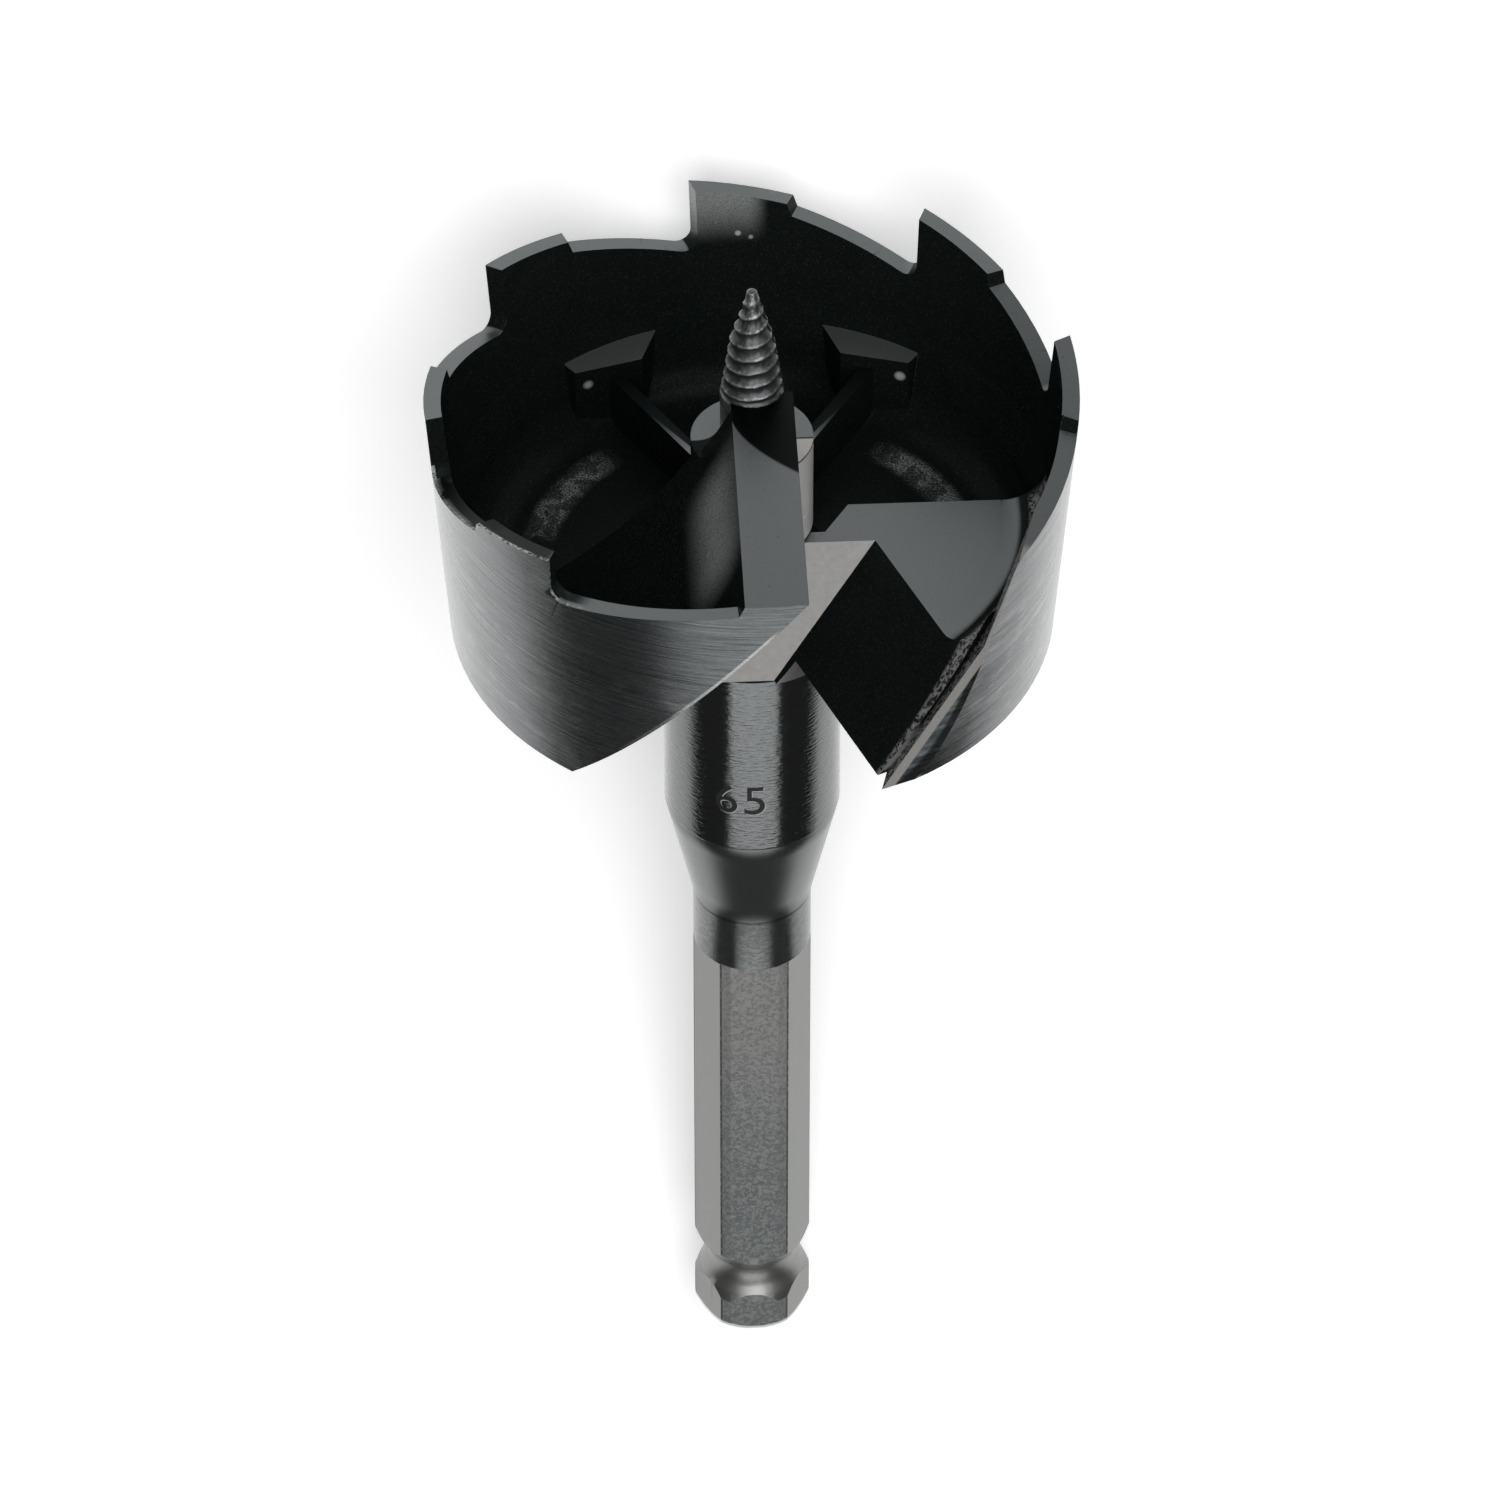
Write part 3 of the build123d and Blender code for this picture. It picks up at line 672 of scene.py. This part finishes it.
def shank_material():
    """Turned and ground steel: hexagon, scratched neck, taper and finely turned collar."""
    material = new_material("shank_steel")
    g = Graph(material.node_tree)
    at = Surface(g)
    zones = ShankZones(g, at)
    grain = ShankGrain(g, at)
    turned = g.blend(zones.collar, 0.22, g.blend(grain.turning, 0.09, 0.18))
    roughness = g.blend(zones.hexagon, turned, g.blend(grain.fine, 0.32, 0.42))
    roughness = g.blend(zones.corner, roughness, 0.6)
    metallic = g.blend(zones.corner, g.blend(zones.collar, 0.95, 1.0), 0.15)
    height = g.mul(grain.fine, 0.25)
    height = g.blend(zones.collar, height, g.add(g.mul(grain.turning, 1.1), g.mul(grain.fine, 0.1)))
    height = g.blend(zones.neck, height, g.mul(grain.scratches, 0.5))
    hex_height = g.blend(zones.front, g.mul(grain.fine, 0.3), grain.pebbles)
    height = g.blend(zones.hexagon, height, hex_height)
    g.steel(shank_colour(g, at, zones, grain), roughness, metallic, height, 0.035)
    return material


def envelope_cone(g, level, low, low_radius, high_radius):
    """Radius of one half of the screw's point, which narrows from its low level."""
    drop = g.mul(g.sub(level, low), (low_radius - high_radius) / SCREW_HALF)
    return g.sub(low_radius, drop)


def screw_material(name, tone):
    """Plain machined steel of the feed screw or the set screw, with painted shade in the thread's grooves.
    """
    material = new_material(name)
    g = Graph(material.node_tree)
    at = Surface(g)
    patches = g.noise(at.spot, 1.6, 4.0, 0.65)
    fine = g.noise(at.spot, 11.0, 3.0, 0.6)
    colour = g.mix(g.step(patches, 0.35, 0.65), grey(tone * 0.55, -0.04), grey(tone * 1.4, -0.01))
    lower = envelope_cone(g, at.level, TIP_LEVEL, SCREW_RADIUS, SCREW_MIDDLE)
    upper = envelope_cone(g, at.level, TIP_LEVEL + SCREW_HALF, SCREW_MIDDLE, SCREW_TIP_RADIUS)
    depth = g.sub(g.math("MINIMUM", lower, upper), at.radius)
    ragged = g.mul(g.sub(g.noise(at.spot, 1.8, 3.0, 0.6), 0.5), 0.5)
    # Painted shade in the thread's grooves
    root = g.mul(g.step(g.add(depth, ragged), 0.06, 0.24), g.step(at.level, TIP_LEVEL - 0.5, TIP_LEVEL))
    colour = g.mix(root, colour, g.mix(patches, *THREAD_SHADE))
    height = g.add(g.mul(patches, 0.6), g.mul(fine, 0.4))
    g.steel(colour, g.blend(patches, 0.32, 0.5), 0.9, height, 0.08)
    return material


def mark_material(name, colour, metallic):
    """Painted shade (the stamp's floor) or painted highlight (its edge) of the stamped size number."""
    material = new_material(name)
    g = Graph(material.node_tree)
    grain = g.noise(Surface(g).spot, 6.0, 3.0, 0.6)
    dark = tuple(0.7 * value for value in colour[:3]) + (1,)
    g.steel(g.mix(grain, dark, colour), MARK_ROUGHNESS, metallic, grain, 0.02)
    return material


def dress(node, material):
    """CAD node with a merged mesh, small bevels and smooth shading over its curves."""
    piece = frame["nodes"][node]
    piece.data.materials.clear()
    piece.data.materials.append(material)
    weld = piece.modifiers.new("weld", "WELD")
    weld.merge_threshold = NODE_WELD
    edge = piece.modifiers.new("edges", "BEVEL")
    edge.width = BEVELS[node] * MM
    edge.segments = BEVEL_SEGMENTS
    edge.limit_method = "ANGLE"
    edge.angle_limit = BEVEL_ANGLE
    normals = piece.modifiers.new("normals", "WEIGHTED_NORMAL")
    normals.mode = "FACE_AREA_WITH_ANGLE"
    normals.weight = NORMAL_WEIGHT
    normals.keep_sharp = True


def add_object(name, data):
    made = bpy.data.objects.new(name, data)
    bpy.context.scene.collection.objects.link(made)
    return made


def finished_mesh(name, mesh, material):
    """Smooth mesh with its material, from a bmesh that is used up."""
    for face in mesh.faces:
        face.smooth = True
    data = bpy.data.meshes.new(name)
    mesh.to_mesh(data)
    mesh.free()
    data.materials.append(material)
    return data


def screw_envelope(level):
    """Outer radius of the feed screw at a level: a slightly swollen cone on a plain stem."""
    above = level - TIP_LEVEL
    if above <= 0:
        return SCREW_RADIUS
    if above <= SCREW_HALF:
        return SCREW_RADIUS + above / SCREW_HALF * (SCREW_MIDDLE - SCREW_RADIUS)
    return SCREW_MIDDLE + (above / SCREW_HALF - 1) * (SCREW_TIP_RADIUS - SCREW_MIDDLE)


def thread_cut(phase, raw, level, turn):
    """Depth under the envelope: the thread's groove and the lumps of its rough surface."""
    groove = 1 - abs(2 * phase - 1) ** THREAD_ROUNDING
    run_in = min(1.0, max(0.0, (raw - THREAD_LOW) / THREAD_RUN_IN))
    run_out = min(1.0, max(0.0, (POINT_LEVEL - raw) / THREAD_RUN_OUT))
    place = Vector((math.cos(turn), math.sin(turn), level * LUMP_STRETCH)) * LUMP_SCALE
    lump = 0.5 + 0.5 * noise.noise(place)
    return run_in * run_out * (THREAD_DEPTH * groove + LUMP_DEPTH * lump)


def screw_rings():
    """Rings from the stem's end to the point, each with a level and a cut for every step around."""
    rings = []
    for level in (STEM_END, FLAT_HIGH, FLAT_HIGH + 0.01, THREAD_LOW - 0.01):
        rings.append([(level, 0.0)] * STEPS_AROUND)
    turns = math.ceil((POINT_LEVEL - THREAD_LOW) / THREAD_PITCH) + 1
    for row in range(-STEPS_PER_TURN, turns * STEPS_PER_TURN):
        phase = (row % STEPS_PER_TURN) / STEPS_PER_TURN
        ring = []
        for k in range(STEPS_AROUND):
            raw = THREAD_LOW + THREAD_PITCH * (row / STEPS_PER_TURN + k / STEPS_AROUND)
            level = min(max(raw, THREAD_LOW), POINT_LEVEL)
            ring.append((level, thread_cut(phase, raw, level, 2 * math.pi * k / STEPS_AROUND)))
        rings.append(ring)
    return rings


def screw_vertex(k, level, cut):
    """Point of the screw's surface, with the flat for the set screw on the stem."""
    turn = 2 * math.pi * k / STEPS_AROUND
    radius = max(LEAST_RADIUS, screw_envelope(level) - cut)
    x = radius * math.cos(turn)
    y = radius * math.sin(turn)
    if FLAT_LOW <= level <= FLAT_HIGH:
        y = min(y, SCREW_RADIUS - FLAT_DEPTH)
    return to_world @ (Vector((x, y, level)) * MM)


def make_feed_screw():
    """Feed screw with its thread cut into the point, and the flat for the set screw on its stem."""
    mesh = bmesh.new()
    rings = []
    for ring in screw_rings():
        rings.append([mesh.verts.new(screw_vertex(k, *values)) for k, values in enumerate(ring)])
    for low, high in zip(rings, rings[1:]):
        for k in range(STEPS_AROUND):
            after = (k + 1) % STEPS_AROUND
            mesh.faces.new((low[k], low[after], high[after], high[k]))
    mesh.faces.new(list(reversed(rings[0])))
    mesh.faces.new(rings[-1])
    bmesh.ops.remove_doubles(mesh, verts=mesh.verts, dist=SCREW_WELD)
    bmesh.ops.recalc_face_normals(mesh, faces=mesh.faces)
    data = finished_mesh("feed_screw_threaded", mesh, screw_material("screw_steel", SCREW_TONE))
    piece = add_object("feed_screw_threaded", data)
    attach(piece, "root")
    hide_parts("feed_screw")


def flat_mark(name):
    """Size number as a flat mesh, divided finely enough to bend."""
    curve = bpy.data.curves.new(name, "FONT")
    curve.body = MARK_TEXT
    curve.size = MARK_SIZE
    curve.space_character = MARK_SPACING
    curve.align_x = "CENTER"
    curve.align_y = "CENTER"
    writing = add_object(name + "_writing", curve)
    bpy.context.view_layer.update()
    mesh = bmesh.new()
    mesh.from_mesh(writing.to_mesh())
    writing.to_mesh_clear()
    bpy.data.objects.remove(writing)
    bpy.data.curves.remove(curve)
    bmesh.ops.remove_doubles(mesh, verts=mesh.verts, dist=MARK_WELD)
    bmesh.ops.triangulate(mesh, faces=mesh.faces)
    bmesh.ops.subdivide_edges(mesh, edges=mesh.edges, cuts=3, use_grid_fill=True)
    return mesh


def make_mark(name, shift, lift, material):
    """Copy of the size number, bent round the collar under the head: the dark one is painted shade, the
    shifted light one painted highlight.
    """
    mesh = flat_mark(name)
    radius = COLLAR_RADIUS + lift
    for vertex in mesh.verts:
        turn = (vertex.co.x + shift + MARK_SIDE) / COLLAR_RADIUS
        level = vertex.co.y - shift + MARK_LEVEL
        vertex.co = to_world @ (Vector((radius * math.sin(turn), -radius * math.cos(turn), level)) * MM)
    bmesh.ops.recalc_face_normals(mesh, faces=mesh.faces)
    outward = to_world.to_3x3() @ Vector((0, -1, 0))
    if sum((face.normal * face.calc_area() for face in mesh.faces), Vector()).dot(outward) < 0:
        bmesh.ops.reverse_faces(mesh, faces=mesh.faces)
    piece = add_object(name, finished_mesh(name, mesh, material))
    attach(piece, "root")


def make_camera():
    """Camera of the photograph, rolled so that the picture shows the lying bit upright."""
    data = bpy.data.cameras.new("photo_camera")
    camera = add_object("photo_camera", data)
    data.lens = CAMERA_LENS
    data.sensor_width = SENSOR_WIDTH
    data.shift_x = (FRAME_PIXELS / 2 - AXIS_PIXEL) / FRAME_PIXELS
    away = Vector((-math.sin(CAMERA_TURN), math.cos(CAMERA_TURN), 0))
    sight = away * math.cos(CAMERA_ELEVATION) - Vector((0, 0, 1)) * math.sin(CAMERA_ELEVATION)
    across = Vector((math.cos(CAMERA_TURN), math.sin(CAMERA_TURN), 0))
    up = across.cross(sight)
    place = Vector((0, 0, AIM_LEVEL)) - sight * CAMERA_DISTANCE
    pose = Matrix((
        (across.x, up.x, -sight.x, place.x * MM),
        (across.y, up.y, -sight.y, place.y * MM),
        (across.z, up.z, -sight.z, place.z * MM),
        (0, 0, 0, 1),
    ))
    camera.matrix_world = to_world @ pose
    bpy.context.scene.camera = camera


def floor_material():
    """White table: what the steel mirrors of it grows darker away from the bit."""
    material = new_material("floor_white")
    g = Graph(material.node_tree)
    path = g.node("ShaderNodeLightPath")
    place = g.node("ShaderNodeTexCoord").outputs["Object"]
    distance = g.node("ShaderNodeVectorMath", {0: place}, operation="LENGTH").outputs["Value"]
    near = g.step(distance, *MIRROR_FADE)
    seen = path.outputs["Is Camera Ray"]
    mirrored = g.node("ShaderNodeEmission", {"Color": grey(1.0), "Strength": near})
    matt = g.node("ShaderNodeBsdfDiffuse", {"Color": grey(FLOOR_WHITE)})
    glow = g.node("ShaderNodeEmission", {"Color": grey(FLOOR_GLOW), "Strength": seen})
    plain = g.node("ShaderNodeAddShader", {0: matt.outputs[0], 1: glow.outputs[0]})
    both = g.node("ShaderNodeMixShader", {
        0: path.outputs["Is Glossy Ray"], 1: plain.outputs[0], 2: mirrored.outputs[0]})
    out = g.node("ShaderNodeOutputMaterial")
    g.link(both.outputs[0], out.inputs[0])
    return material


def make_floor():
    """Square table under the bit."""
    corners = [(-1, -1), (1, -1), (1, 1), (-1, 1)]
    mesh = bpy.data.meshes.new("floor")
    mesh.from_pydata([(x * FLOOR_HALF, y * FLOOR_HALF, 0) for x, y in corners], [], [(0, 1, 2, 3)])
    mesh.materials.append(floor_material())
    add_object("floor", mesh)


def area_light(name, place, target, size, radiance):
    """Softbox with the brightness that its picture has in a mirror."""
    data = bpy.data.lights.new(name, "AREA")
    data.shape = "RECTANGLE"
    data.size, data.size_y = size
    data.energy = radiance * size[0] * size[1] * math.pi
    light = add_object(name, data)
    light.location = place
    light.rotation_mode = "QUATERNION"
    light.rotation_quaternion = (Vector(target) - Vector(place)).to_track_quat("-Z", "Y")


def make_world():
    """Room that lights faintly and looks white to the camera."""
    world = bpy.data.worlds.new("studio")
    bpy.context.scene.world = world
    world.use_nodes = True
    world.node_tree.nodes.clear()
    g = Graph(world.node_tree)
    path = g.node("ShaderNodeLightPath")
    room = g.node("ShaderNodeBackground", {"Color": grey(1.0), "Strength": ROOM_LIGHT})
    white = g.node("ShaderNodeBackground", {"Color": grey(1.0), "Strength": 1.0})
    both = g.node("ShaderNodeMixShader", {
        0: path.outputs["Is Camera Ray"], 1: room.outputs[0], 2: white.outputs[0]})
    out = g.node("ShaderNodeOutputWorld")
    g.link(both.outputs[0], out.inputs[0])


dress("cutter_head", head_material())
dress("shank", shank_material())
dress("set_screw", screw_material("set_screw_steel", SET_SCREW_TONE))
make_feed_screw()
make_camera()
make_floor()
make_world()
# The size number: a shifted light copy as painted highlight, and a dark copy as painted shade over it
make_mark("size_mark_highlight", MARK_HIGHLIGHT_SHIFT, MARK_HIGHLIGHT_LIFT, mark_material("mark_highlight", MARK_HIGHLIGHT, 0.3))
make_mark("size_mark", 0.0, MARK_LIFT, mark_material("mark_shade", MARK_SHADE, 0.6))
for lamp in LAMPS:
    area_light(*lamp)

bpy.context.scene.view_settings.view_transform = "Standard"
